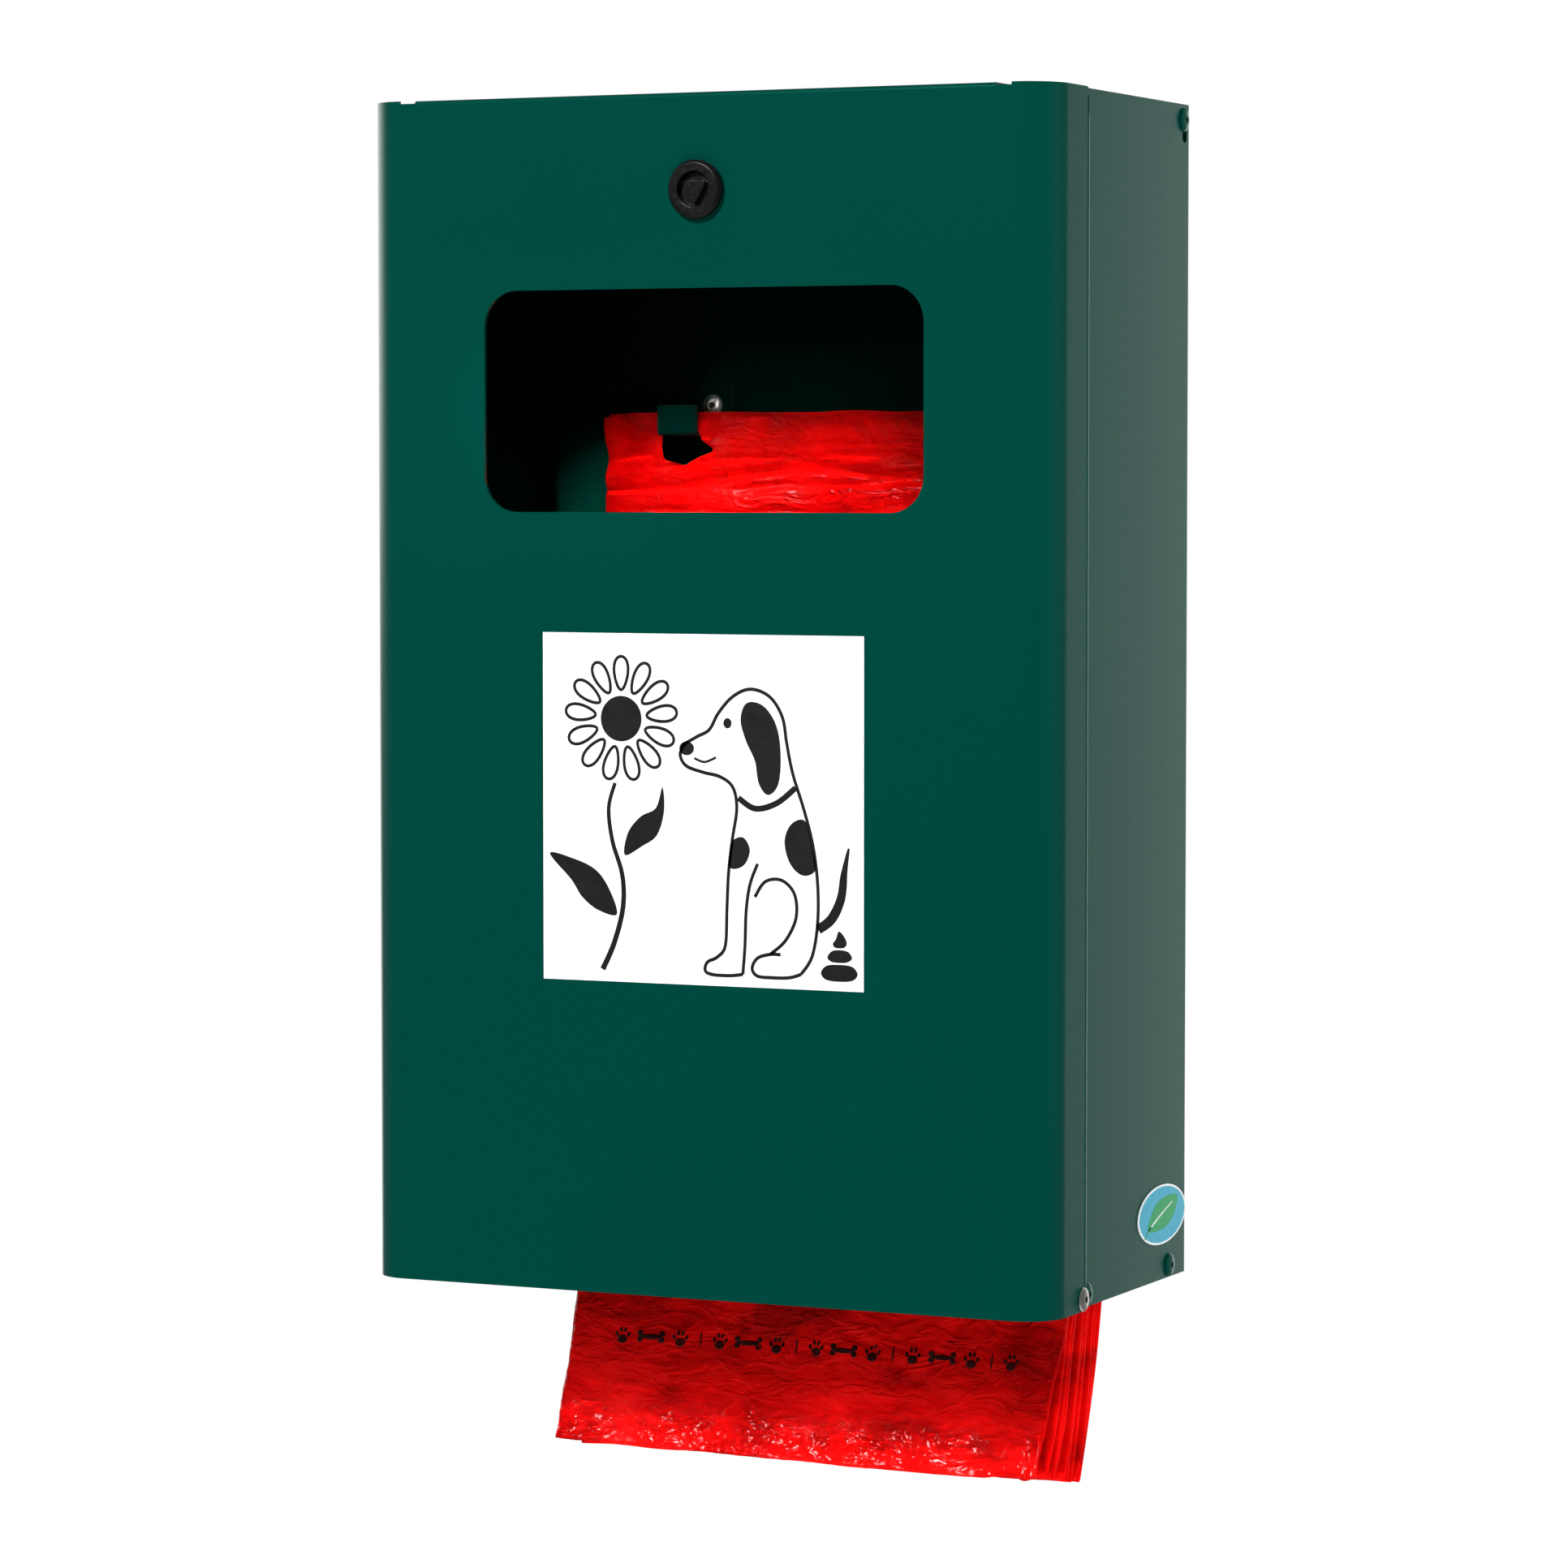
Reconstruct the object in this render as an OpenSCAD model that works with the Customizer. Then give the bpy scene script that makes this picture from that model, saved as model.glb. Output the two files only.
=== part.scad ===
// Wall-mounted dispenser for dog waste bags, made of folded and riveted sheet steel.
// +Z is up, -Y is the front, and the wall is the plane Y = 0.
// The origin is the centre of the four wall holes, on the back face.

/* [Case] */
// Height of the case and the door
height = 400; // [380:1:420]
// Distance from the wall to the face of the door
depth = 130; // [128:1:150]
// Thickness of every steel sheet
sheet = 1.5; // [1.2:0.1:1.5]
// Gap between a door flange and the case side that it covers
side_gap = 0.4; // [0.3:0.1:0.5]
// Outer radius of the two vertical bends at the wall
case_bend = 3; // [2.5:0.5:4]
// Distance from the door face to the front edge of the case
case_setback = 11.8; // [11.8:0.1:12.5]
// Height of the flanges that the roof and the floor are riveted by
flange_height = 9.8; // [9:0.1:12]
// Height of the front lip of the roof, which the cam catches
roof_lip = 19.8; // [18:0.1:20]
// Height of the front lip of the floor
floor_lip = 12; // [8:1:20]

/* [Door] */
// Width of the door over its flanges
door_width = 252; // [248:1:270]
// Outer radius of the two vertical bends of the door
door_bend = 14; // [13:0.5:15]
// Depth of the door flanges behind the door face
door_flange = 32.7; // [32:0.1:33]
// Depth of the return along the top of the door
top_return = 11; // [6:0.5:11]
// Length of the relief cut at each end of the top return
relief_length = 6; // [4:1:8]
// Width of the window
window_width = 161; // [120:1:165]
// Height of the window
window_height = 74; // [50:1:76]
// Corner radius of the window
window_radius = 12; // [6:1:16]
// Height of the window's centre above the middle of the case
window_z = 98.7; // [95:0.1:100]
// Sideways offset of the window's centre
window_x = 0.9; // [-2:0.1:2]

/* [Bag slot] */
// Width of the slot in the floor
slot_width = 208; // [205:1:212]
// Distance from the wall to the rear edge of the slot
slot_rear = 12; // [10:1:14]
// Distance from the wall to the front edge of the slot
slot_front = 60; // [59:1:66]
// Corner radius of the slot
slot_radius = 6; // [3:1:10]

/* [Lock] */
// Height of the lock above the middle of the case
lock_z = 168; // [167:0.5:168]
// Radius of the lock head at the door
head_radius = 9.75; // [9.2:0.05:10]
// Height of the lock head
head_height = 2.7; // [2.4:0.1:3.2]
// Radius of the threaded barrel
barrel_radius = 8; // [7.5:0.1:8.2]
// Radius of the bore that the plug turns in
bore_radius = 6; // [5.8:0.1:6.2]
// Radial clearance of the plug in its bore
plug_clearance = 0.06; // [0.03:0.01:0.09]
// Side of the triangular key post before its corners are rounded
post_side = 9.6; // [9:0.1:10]
// Reach of the cam from the lock axis
cam_reach = 19; // [18:0.5:20]
// Thickness of the cam
cam_thickness = 2; // [1.5:0.1:2.5]

/* [Hinge] */
// Distance of the hinge axis behind the door face
hinge_setback = 29.2; // [29:0.1:29.2]
// Height of the hinge axis above the bottom of the door
hinge_height = 4; // [4:0.1:4.2]
// Radial clearance of a door flange on its hinge rivet
hinge_clearance = 0.05; // [0.02:0.01:0.09]

/* [Rivets] */
// Radius of a rivet's shank
shank_radius = 2; // [1.8:0.1:2]
// Radius of a rivet's domed head
dome_radius = 4; // [3.6:0.1:4]
// Height of a rivet's domed head
dome_height = 1.3; // [1:0.1:1.5]

/* [Wall holes] */
// Distance between the left and the right wall holes
hole_spacing_x = 160; // [100:5:180]
// Distance between the upper and the lower wall holes
hole_spacing_z = 300; // [260:5:320]
// Radius of a wall hole
hole_radius = 3.5; // [2.5:0.5:4]

/* [Bag hooks] */
// Distance of each hook from the middle
hook_x = 55.6; // [50:0.1:60]
// Width of a hook
hook_width = 15.2; // [12:0.1:16]
// Reach of a hook from the wall
hook_reach = 32.5; // [32.5:0.1:34]
// Height of the hook arm's underside above the middle of the case
hook_z = 88; // [86:0.5:88]
// Height of the upturned tab at the end of a hook
tab_height = 10.6; // [9:0.1:12]

/* [Bags] */
// Width of a bag
bag_width = 185; // [160:1:190]
// Length of a bag
bag_length = 358; // [340:1:360]
// Sideways offset of the bags
bag_x = 8.5; // [5:0.5:8.5]
// Number of bundles behind the front bag
bundle_count = 5; // [5:5]

/* [Labels] */
// Width of the pictogram sticker
sticker_width = 118; // [100:1:130]
// Height of the pictogram sticker
sticker_height = 116.5; // [100:0.5:130]
// Height of the sticker's centre relative to the middle of the case
sticker_z = -36.7; // [-45:0.1:-30]
// Width of the oval badge
badge_width = 44.8; // [20:0.1:44.8]
// Height of the oval badge
badge_height = 20.4; // [15:0.1:25]

/* [Hidden] */
$fn = 64;

green = [0.0, 0.27, 0.23];
black = [0.1, 0.1, 0.1];
silver = [0.8, 0.78, 0.74];
red = [0.85, 0.05, 0.04];

// Overlap that keeps a cut from ending exactly on a face
past = 1;
// Case and door outlines
door_half = door_width / 2;
case_half = door_half - sheet - side_gap;
case_inner = case_half - sheet;
door_face = -depth;
door_inside = door_face + sheet;
case_front = door_face + case_setback;
top_z = height / 2;
bottom_z = -height / 2;
// The case stops a little short of the door at the top and at the bottom
case_top = top_z - 0.2;
case_bottom = bottom_z + 0.3;
// Bend radius of the narrow flanges
fold_radius = 2;
return_radius = 1.6;
return_half = door_half - door_bend - relief_length;
relief_depth = 0.9;
flange_corner = 3;

// Hinge axis
hinge_y = door_face + hinge_setback;
hinge_z = bottom_z + hinge_height;
hinge_head_gap = 0.15;
hinge_grip = 2 * sheet + side_gap + hinge_head_gap;

// Rivet places on each case side, as [y, z]
roof_rivet = [-7.5, top_z - 5.5];
rear_floor_rivet = [-17.3, bottom_z + 4.5];
front_floor_rivet = [door_face + 37.5, bottom_z + 4.5];
case_rivet_places = [roof_rivet, rear_floor_rivet, front_floor_rivet];
rivet_bore = 1.1;
bulge_radius = 2.4;
bulge_swell = 0.5;
dome_rim = 0.3;
dome_steps = 6;
pin_recess = 0.6;
bulge_length = 2.6;
pin_head_radius = 1.8;
// Slot under the roof rivet, for setting the roof's height
set_slot_y = -6.4;
set_slot_half = 2;
set_slot_bottom = roof_rivet[1] - 7.7;
set_slot_top = roof_rivet[1] - 1.2;

// Corner cuts of the roof and the floor, for the bends of the case and for the hinge rivets
rear_relief = 1.7;
hinge_relief_width = 5;
hinge_relief_back = hinge_y + 4.2;

// Lock stack, from the door face inwards
gasket_thickness = 0.5;
gasket_radius = head_radius - 0.3;
chamfer = 1.05;
barrel_end = case_front - 0.2;
plug_face = door_face - 0.6;
post_top = door_face - 2.6;
post_corner = 1.1;
cam_front = case_front + sheet + 0.4;
cam_back = cam_front + cam_thickness;
cam_hub = 8;
cam_arm_half = 6;
square_side = 7;
// How far the square end stays below the back of the cam
square_short = 0.1;
washer_thickness = 0.8;
washer_radius = 11;
nut_flats = 21;
nut_thickness = 5;
cam_washer_radius = 6;
cam_washer_thickness = 1;
screw_radius = 2;
screw_head_radius = 3.5;
screw_head_height = 2.4;
screw_length = 8;
hex_key_radius = 1.45;
hex_key_depth = 1.6;

// Hooks
hook_leg_height = 18;
hook_rivet_z = hook_z + 10.8;
tab_corner = 1;

// Bags: s runs from 0 at the front of the stack to 1 at the back
bag_top = hook_z + 8;
stack_front = -hook_reach + sheet + 0.3;
stack_back = -2 * sheet - dome_height - 0.5;
front_lean = 41.3;
back_lean = 32.2;
lean_power = 4;
curve_steps = 24;
front_bag_share = 0.05;
bundle_gap_share = 0.015;
end_step = 7;
bag_hole_half = 11;
bag_hole_top = hook_z + sheet + 0.3;
bag_hole_bottom = hook_z - 12;
bag_hole_radius = 4;

sticker_thickness = 0.15;
sticker_x = 1.4;
badge_thickness = 0.4;
badge_y = -24.8;
badge_z = bottom_z + 22.7;
badge_points = 96;

// Distance that a bag has swung forward at height z
function lean(z, s) = (front_lean + (back_lean - front_lean) * s)
    * pow((bag_top - z) / bag_length, lean_power);
function stack_y(z, s) = stack_front + (stack_back - stack_front) * s - lean(z, s);
function bag_bottom(s) = bag_top - bag_length - end_step * s + 1;
function along(from, to, i, n) = from + (to - from) * i / n;
// Share of the stack where bundle i begins and ends
function bundle_width() = (1 - front_bag_share) / bundle_count;
function bundle_start(i) = front_bag_share + bundle_width() * (i - 1) + bundle_gap_share;
function bundle_end(i) = front_bag_share + bundle_width() * i;

// Extrudes an [x, z] outline from y upwards in Y
module along_y(y, length) {
    translate([0, y + length, 0])
        rotate([90, 0, 0])
            linear_extrude(length)
                children();
}

// Extrudes a [y, z] outline from x upwards in X
module along_x(x, length) {
    translate([x, 0, 0])
        rotate([90, 0, 90])
            linear_extrude(length)
                children();
}

// Block between two corners
module block(low, high) {
    translate(low)
        cube(high - low);
}

// Rectangle with round corners, centred
module round_rectangle(width, tall, radius) {
    square([width - 2 * radius, tall], center = true);
    square([width, tall - 2 * radius], center = true);
    for (sx = [-1, 1])
        for (sy = [-1, 1])
            translate([sx * (width / 2 - radius), sy * (tall / 2 - radius)])
                circle(r = radius);
}

// Tray outline: closed with round corners at v = 0, open towards +v
module tray_outline(half, tall, radius) {
    translate([-half + radius, 0])
        square([2 * (half - radius), tall]);
    translate([-half, radius])
        square([2 * half, tall - radius]);
    for (side = [-1, 1])
        translate([side * (half - radius), radius])
            circle(r = radius);
}

// Folded sheet with two flanges that stand towards +v
module folded_outline(half, tall, radius) {
    difference() {
        tray_outline(half, tall, radius);
        translate([0, sheet])
            tray_outline(half - sheet, tall, max(radius - sheet, 0.1));
    }
}

// Corner cutter: what lies outside a quarter circle at the origin's +u +v corner
module corner_waste(radius) {
    difference() {
        square(radius + past);
        circle(r = radius);
    }
}

// Repeats a shape on both sides of the middle plane
module both_sides() {
    children();
    mirror([1, 0, 0])
        children();
}

// Blind rivet along +X, with its head on the plane x = 0; a bulge of 0 sets it flush
module blind_rivet(grip, bulge) {
    rise = dome_height - dome_rim;
    tail = bulge > 0 ? [[rivet_bore, -grip - bulge], [bulge_radius, -grip - bulge],
        [bulge_radius, -grip - bulge_swell]] : [[rivet_bore, -grip]];
    bore_angle = acos(rivet_bore / dome_radius);
    dome = [for (i = [0 : dome_steps])
        [dome_radius * cos(bore_angle * i / dome_steps),
         dome_rim + rise * sin(bore_angle * i / dome_steps)]];
    rotate([0, 90, 0])
        rotate_extrude()
            polygon(concat(tail, [[shank_radius, -grip], [shank_radius, 0], [dome_radius, 0]], dome));
}

// Broken-off pin that stays inside a blind rivet
module rivet_pin(grip) {
    translate([-grip - bulge_length, 0, 0])
        rotate([0, 90, 0])
            cylinder(r = rivet_bore, h = grip + bulge_length + dome_height - pin_recess);
    translate([-grip - bulge_length - pin_head_radius, 0, 0])
        rotate([0, 90, 0])
            cylinder(r = pin_head_radius, h = pin_head_radius);
}

// Round hole through both case sides or both door flanges
module side_hole(place, radius) {
    translate([-door_half - past, place[0], place[1]])
        rotate([0, 90, 0])
            cylinder(r = radius, h = door_width + 2 * past);
}

module back_shell() {
    color(green)
        difference() {
            translate([0, 0, case_bottom])
                linear_extrude(case_top - case_bottom)
                    mirror([0, 1])
                        folded_outline(case_half, -case_front, case_bend);
            for (x = [-1, 1])
                for (z = [-1, 1])
                    translate([x * hole_spacing_x / 2, past, z * hole_spacing_z / 2])
                        rotate([90, 0, 0])
                            cylinder(r = hole_radius, h = sheet + 2 * past);
            for (place = case_rivet_places)
                side_hole(place, shank_radius);
            side_hole([hinge_y, hinge_z], shank_radius);
            set_slot();
            for (x = [-hook_x, hook_x])
                translate([x, past, hook_rivet_z])
                    rotate([90, 0, 0])
                        cylinder(r = shank_radius, h = sheet + 2 * past);
        }
}

// Slot through both case sides below the roof rivets
module set_slot() {
    slot_low = set_slot_bottom + set_slot_half;
    side_hole([set_slot_y, slot_low], set_slot_half);
    block([-case_half - past, set_slot_y - set_slot_half, slot_low],
        [case_half + past, set_slot_y + set_slot_half, set_slot_top]);
}

module roof_plate() {
    color(green)
        difference() {
            union() {
                translate([0, 0, case_top])
                    mirror([0, 0, 1])
                        along_y(case_front, -sheet - case_front)
                            folded_outline(case_inner, flange_height, fold_radius);
                block([-case_inner + fold_radius, case_front, case_top - roof_lip],
                    [case_inner - fold_radius, case_front + sheet, case_top - sheet / 2]);
            }
            translate([0, case_front + fold_radius, case_top - fold_radius])
                mirror([0, 1, 0])
                    along_x(-case_half, 2 * case_half)
                        corner_waste(fold_radius);
            side_hole(roof_rivet, shank_radius);
            rear_corner_cuts();
        }
}

// Cuts at the rear corners of a plate, where the case side bends into the back
module rear_corner_cuts() {
    both_sides()
        block([case_inner - rear_relief, -sheet - rear_relief, bottom_z],
            [case_half, 0, top_z]);
}

// Cuts at the front corners of the floor, which leave room for the hinge rivets
module hinge_corner_cuts() {
    both_sides()
        block([case_inner - hinge_relief_width, case_front + sheet, bottom_z - past],
            [case_half, hinge_relief_back, bottom_z + flange_height + past]);
}

module floor_plate() {
    slot_centre = -(slot_front + slot_rear) / 2;
    color(green)
        difference() {
            union() {
                translate([0, 0, case_bottom])
                    along_y(case_front, -sheet - case_front)
                        folded_outline(case_inner, flange_height, fold_radius);
                block([-case_inner + fold_radius, case_front, case_bottom + sheet / 2],
                    [case_inner - fold_radius, case_front + sheet, case_bottom + floor_lip]);
            }
            translate([0, case_front + fold_radius, case_bottom + fold_radius])
                mirror([0, 1, 0])
                    mirror([0, 0, 1])
                        along_x(-case_half, 2 * case_half)
                            corner_waste(fold_radius);
            translate([0, slot_centre, case_bottom - past])
                linear_extrude(sheet + 2 * past)
                    round_rectangle(slot_width, slot_front - slot_rear, slot_radius);
            side_hole(rear_floor_rivet, shank_radius);
            side_hole(front_floor_rivet, shank_radius);
            rear_corner_cuts();
            hinge_corner_cuts();
        }
}

// Rivets that hold the roof and the floor to the case sides
module case_rivets() {
    color(green)
        both_sides()
            for (place = case_rivet_places)
                translate([case_half, place[0], place[1]])
                    blind_rivet(2 * sheet, bulge_length);
}

module case_mandrels() {
    color("dimgray")
        both_sides()
            for (place = case_rivet_places)
                translate([case_half, place[0], place[1]])
                    rivet_pin(2 * sheet);
}

// Rivets that the door flanges turn on
module hinge_rivets() {
    color(silver)
        both_sides()
            translate([door_half + hinge_head_gap, hinge_y, hinge_z])
                blind_rivet(hinge_grip, bulge_length);
}

module hinge_mandrels() {
    color("dimgray")
        both_sides()
            translate([door_half + hinge_head_gap, hinge_y, hinge_z])
                rivet_pin(hinge_grip);
}

// Bag hook: a leg against the back, an arm, and an upturned tab at its end
module bag_hook(x) {
    arm_length = hook_reach - sheet;
    color(green)
        difference() {
            translate([x, 0, 0])
                union() {
                    along_x(-hook_width / 2, hook_width)
                        translate([-sheet - arm_length / 2, hook_z])
                            folded_outline(arm_length / 2, tab_height - tab_corner, fold_radius);
                    block([-hook_width / 2, -2 * sheet, hook_z + tab_height / 2],
                        [hook_width / 2, -sheet, hook_z + hook_leg_height]);
                    block([-hook_width / 2 + tab_corner, -hook_reach, hook_z + tab_height / 2],
                        [hook_width / 2 - tab_corner, -hook_reach + sheet, hook_z + tab_height]);
                    for (side = [-1, 1])
                        translate([side * (hook_width / 2 - tab_corner), 0,
                            hook_z + tab_height - tab_corner])
                            along_y(-hook_reach, sheet)
                                circle(r = tab_corner);
                }
            translate([x, past, hook_rivet_z])
                rotate([90, 0, 0])
                    cylinder(r = shank_radius, h = 2 * sheet + 2 * past);
        }
}

module hook_left() {
    bag_hook(-hook_x);
}

module hook_right() {
    bag_hook(hook_x);
}

module hook_rivets() {
    color(silver)
        for (x = [-hook_x, hook_x])
            translate([x, -2 * sheet, hook_rivet_z])
                rotate([0, 0, -90])
                    blind_rivet(2 * sheet, 0);
}

module hook_mandrels() {
    color("dimgray")
        for (x = [-hook_x, hook_x])
            translate([x, 0, hook_rivet_z])
                rotate([90, 0, 0])
                    cylinder(r = rivet_bore, h = 2 * sheet + dome_height - pin_recess);
}

module side_badge() {
    color("white")
        translate([0, badge_y, badge_z])
            along_x(case_half, badge_thickness)
                polygon([for (i = [0 : badge_points - 1])
                    [badge_width / 2 * cos(360 * i / badge_points),
                     badge_height / 2 * sin(360 * i / badge_points)]]);
}

// Flat bags hanging together on the hooks, from share s0 to share s1 of the stack
module bag_slab(s0, s1) {
    low = bag_bottom(s0);
    front = [for (i = [0 : curve_steps])
        [stack_y(along(bag_top, low, i, curve_steps), s0), along(bag_top, low, i, curve_steps)]];
    back = [for (i = [curve_steps : -1 : 0])
        [stack_y(along(bag_top, low, i, curve_steps), s1), along(bag_top, low, i, curve_steps)]];
    color(red)
        difference() {
            along_x(bag_x - bag_width / 2, bag_width)
                polygon(concat(front, back));
            for (x = [-hook_x, hook_x])
                translate([x, 0, (bag_hole_top + bag_hole_bottom) / 2])
                    along_y(-hook_reach - past, hook_reach)
                        round_rectangle(2 * bag_hole_half, bag_hole_top - bag_hole_bottom,
                            bag_hole_radius);
        }
}

module bag_front() {
    bag_slab(0, front_bag_share);
}

module bag_bundle(i) {
    bag_slab(bundle_start(i), bundle_end(i));
}

module door_panel() {
    color(green)
        difference() {
            union() {
                translate([0, door_face, bottom_z])
                    linear_extrude(height)
                        folded_outline(door_half, door_flange, door_bend);
                block([-return_half, door_face + sheet / 2, top_z - sheet],
                    [return_half, door_face + top_return, top_z]);
            }
            door_openings();
            door_corners();
        }
}

module door_openings() {
    translate([window_x, 0, window_z])
        along_y(door_face - past, sheet + 2 * past)
            round_rectangle(window_width, window_height, window_radius);
    translate([0, 0, lock_z])
        along_y(door_face - past, sheet + 2 * past)
            circle(r = barrel_radius);
    side_hole([hinge_y, hinge_z], shank_radius + hinge_clearance);
}

// Cuts at the ends of the top return and rounded corners of the flanges
module door_corners() {
    flange_back = door_face + door_flange;
    hinge_corner = flange_back - hinge_y;
    for (side = [-1, 1])
        translate([side * (return_half + relief_length / 2), 0, top_z])
            along_y(door_face - past, sheet + 2 * past)
                square([relief_length, 2 * relief_depth], center = true);
    translate([0, door_face + return_radius, top_z - return_radius])
        mirror([0, 1, 0])
            along_x(-return_half, 2 * return_half)
                corner_waste(return_radius);
    translate([0, flange_back - flange_corner, top_z - flange_corner])
        along_x(-door_half - past, door_width + 2 * past)
            corner_waste(flange_corner);
    translate([0, hinge_y, bottom_z + hinge_corner])
        mirror([0, 0, 1])
            along_x(-door_half - past, door_width + 2 * past)
                corner_waste(hinge_corner);
}

module door_sticker() {
    color("white")
        translate([sticker_x, 0, sticker_z])
            along_y(door_face - sticker_thickness, sticker_thickness)
                square([sticker_width, sticker_height], center = true);
}

// Places a lock piece that is drawn along +Z, which then points out of the door
module on_lock_axis(y) {
    translate([0, y, lock_z])
        rotate([90, 0, 0])
            children();
}

module lock_gasket() {
    color("black")
        on_lock_axis(door_face)
            difference() {
                cylinder(r = gasket_radius, h = gasket_thickness);
                translate([0, 0, -past])
                    cylinder(r = barrel_radius, h = gasket_thickness + 2 * past);
            }
}

module lock_housing() {
    color(black)
        on_lock_axis(barrel_end)
            difference() {
                union() {
                    cylinder(r = barrel_radius, h = barrel_end - door_face + gasket_thickness);
                    translate([0, 0, barrel_end - door_face + gasket_thickness])
                        lock_head();
                }
                translate([0, 0, -past])
                    cylinder(r = bore_radius, h = barrel_end - post_top + head_height);
            }
}

// Round lock head with a chamfered rim
module lock_head() {
    cylinder(r = head_radius, h = head_height - chamfer);
    translate([0, 0, head_height - chamfer])
        cylinder(r1 = head_radius, r2 = head_radius - chamfer, h = chamfer);
}

module lock_washer() {
    color(silver)
        on_lock_axis(door_inside + washer_thickness)
            difference() {
                cylinder(r = washer_radius, h = washer_thickness);
                translate([0, 0, -past])
                    cylinder(r = barrel_radius, h = washer_thickness + 2 * past);
            }
}

module lock_nut() {
    color(silver)
        on_lock_axis(door_inside + washer_thickness + nut_thickness)
            difference() {
                cylinder(r = nut_flats / 2 / cos(30), h = nut_thickness, $fn = 6);
                translate([0, 0, -past])
                    cylinder(r = barrel_radius, h = nut_thickness + 2 * past);
            }
}

// Triangle with round corners, one corner pointing down
module triangle_post() {
    inner = post_side / sqrt(3) - 2 * post_corner;
    hull()
        for (i = [0 : 2])
            rotate(120 * i - 90)
                translate([inner, 0])
                    circle(r = post_corner, $fn = 32);
}

module lock_plug() {
    plug_radius = bore_radius - plug_clearance;
    color(black)
        difference() {
            union() {
                on_lock_axis(cam_front)
                    cylinder(r = plug_radius, h = cam_front - plug_face);
                on_lock_axis(plug_face)
                    linear_extrude(plug_face - post_top)
                        triangle_post();
                on_lock_axis(cam_back - square_short)
                    linear_extrude(cam_thickness)
                        square(square_side, center = true);
            }
            on_lock_axis(cam_back + past)
                cylinder(r = screw_radius, h = screw_length + past);
        }
}

module lock_cam() {
    color(silver)
        on_lock_axis(cam_back)
            difference() {
                linear_extrude(cam_thickness)
                    union() {
                        circle(r = cam_hub);
                        translate([0, -cam_arm_half])
                            square([cam_reach - cam_arm_half, 2 * cam_arm_half]);
                        translate([cam_reach - cam_arm_half, 0])
                            circle(r = cam_arm_half);
                    }
                translate([0, 0, -past])
                    linear_extrude(cam_thickness + 2 * past)
                        square(square_side, center = true);
            }
}

module cam_washer() {
    color(silver)
        on_lock_axis(cam_back + cam_washer_thickness)
            difference() {
                cylinder(r = cam_washer_radius, h = cam_washer_thickness);
                translate([0, 0, -past])
                    cylinder(r = screw_radius, h = cam_washer_thickness + 2 * past);
            }
}

module cam_screw() {
    head_back = cam_back + cam_washer_thickness + screw_head_height;
    color(silver)
        difference() {
            union() {
                on_lock_axis(head_back)
                    cylinder(r = screw_head_radius, h = screw_head_height);
                on_lock_axis(head_back - screw_head_height)
                    cylinder(r = screw_radius, h = screw_length);
            }
            on_lock_axis(head_back + past)
                cylinder(r = hex_key_radius, h = hex_key_depth + past, $fn = 6);
        }
}

back_shell();
roof_plate();
floor_plate();
case_rivets();
case_mandrels();
hook_left();
hook_right();
hook_rivets();
hook_mandrels();
hinge_rivets();
hinge_mandrels();
side_badge();
bag_front();
bag_bundle(1);  // bag_bundle_1
bag_bundle(2);  // bag_bundle_2
bag_bundle(3);  // bag_bundle_3
bag_bundle(4);  // bag_bundle_4
bag_bundle(5);  // bag_bundle_5
door_panel();
door_sticker();
lock_gasket();
lock_housing();
lock_washer();
lock_nut();
lock_plug();
lock_cam();
cam_washer();
cam_screw();
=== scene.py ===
import math
import random
import bmesh
import bpy
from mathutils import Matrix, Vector, noise


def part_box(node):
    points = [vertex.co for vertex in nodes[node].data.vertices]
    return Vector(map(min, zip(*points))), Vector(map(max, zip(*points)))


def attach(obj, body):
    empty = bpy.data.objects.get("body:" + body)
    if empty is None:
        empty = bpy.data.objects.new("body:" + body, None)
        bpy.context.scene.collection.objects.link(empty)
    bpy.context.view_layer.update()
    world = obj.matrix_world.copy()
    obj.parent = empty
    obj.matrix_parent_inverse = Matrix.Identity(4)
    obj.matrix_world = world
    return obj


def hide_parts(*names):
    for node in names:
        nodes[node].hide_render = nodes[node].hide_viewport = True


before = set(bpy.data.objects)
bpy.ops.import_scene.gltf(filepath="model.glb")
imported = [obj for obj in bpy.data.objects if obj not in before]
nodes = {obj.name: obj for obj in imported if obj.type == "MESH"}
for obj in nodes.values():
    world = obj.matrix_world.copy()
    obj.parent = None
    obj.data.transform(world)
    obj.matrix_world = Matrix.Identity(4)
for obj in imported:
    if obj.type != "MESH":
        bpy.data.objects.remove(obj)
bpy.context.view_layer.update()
scene = bpy.context.scene

# ------------------------------------------------------------------ camera
CAMERA_PLACE = (0.79303, -1.75909, 0.07356)
CAMERA_TURN = math.radians(25.053)
CAMERA_TILT = math.radians(3.212)

camera = bpy.data.objects.new("camera", bpy.data.cameras.new("camera"))
scene.collection.objects.link(camera)
scene.camera = camera
camera.location = CAMERA_PLACE
sight = Vector((
    -math.sin(CAMERA_TURN) * math.cos(CAMERA_TILT),
    math.cos(CAMERA_TURN) * math.cos(CAMERA_TILT),
    -math.sin(CAMERA_TILT),
))
camera.rotation_euler = sight.to_track_quat("-Z", "Y").to_euler()
camera.data.sensor_width = 36
camera.data.lens = 125.757
scene.view_settings.view_transform = "Standard"


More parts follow.
